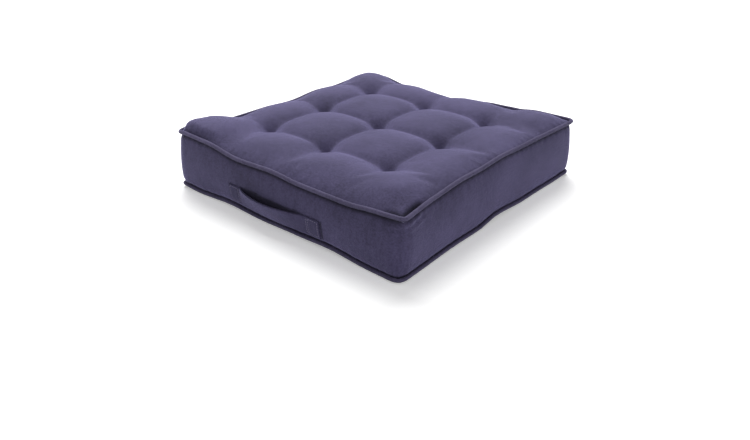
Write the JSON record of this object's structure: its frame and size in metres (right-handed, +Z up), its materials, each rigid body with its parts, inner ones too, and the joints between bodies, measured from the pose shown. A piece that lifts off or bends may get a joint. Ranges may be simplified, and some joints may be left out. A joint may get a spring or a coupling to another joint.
{
  "type": "floor cushion",
  "caption": "Square box-edged floor cushion in brushed cotton, tufted without buttons, with piped edges and a sewn-on carrying strap.",
  "frame": {"origin": "under the middle of the cushion, on the surface it rests on", "axes": "+Z up; the carrying strap is on the -Y side and the care label on the +Y side; +X is to the right when facing the strap"},
  "size_m": [0.5062, 0.5165, 0.1306],
  "materials": {
    "cover_cloth": "matte",
    "piping_cloth": "matte",
    "strap_cloth": "matte",
    "piping_cord": "matte",
    "fibre_filling": "matte",
    "sewing_thread": "satin",
    "tufting_twine": "satin",
    "label_tape": "satin"
  },
  "bodies": {
    "root": {"top_panel": "cover_cloth", "bottom_panel": "cover_cloth", "boxing_front": "cover_cloth", "boxing_back": "cover_cloth", "top_piping_cover": "piping_cloth", "top_piping_cord": "piping_cord", "bottom_piping_cover": "piping_cloth", "bottom_piping_cord": "piping_cord", "filling": "fibre_filling", "top_seam_thread": "sewing_thread", "bottom_seam_thread": "sewing_thread", "closing_seam_thread": "sewing_thread", "boxing_seam_thread_left": "sewing_thread", "boxing_seam_thread_right": "sewing_thread", "handle_end_left": "strap_cloth", "handle_end_right": "strap_cloth", "handle_stitching_left": "sewing_thread", "handle_stitching_right": "sewing_thread", "tuft_tie_1": "tufting_twine", "tuft_tie_2": "tufting_twine", "tuft_tie_3": "tufting_twine", "tuft_tie_4": "tufting_twine", "tuft_tie_5": "tufting_twine", "tuft_tie_6": "tufting_twine", "tuft_tie_7": "tufting_twine", "tuft_tie_8": "tufting_twine", "tuft_tie_9": "tufting_twine"},
    "handle": {"handle_strap": "strap_cloth"},
    "label": {"care_label": "label_tape"}
  },
  "joints": [
    {"name": "handle_swing", "type": "hinge", "parent": "root", "child": "handle", "pos_m": [-0.006, -0.24886, 0.0345], "axis": [1, 0, 0], "range_deg": [-18, 18], "stiffness_Nm_per_rad": 0.02},
    {"name": "label_flap", "type": "hinge", "parent": "root", "child": "label", "pos_m": [0.205, 0.24816, 0.00665], "axis": [-1, 0, 0], "range_deg": [0, 65], "stiffness_Nm_per_rad": 0.002}
  ]
}
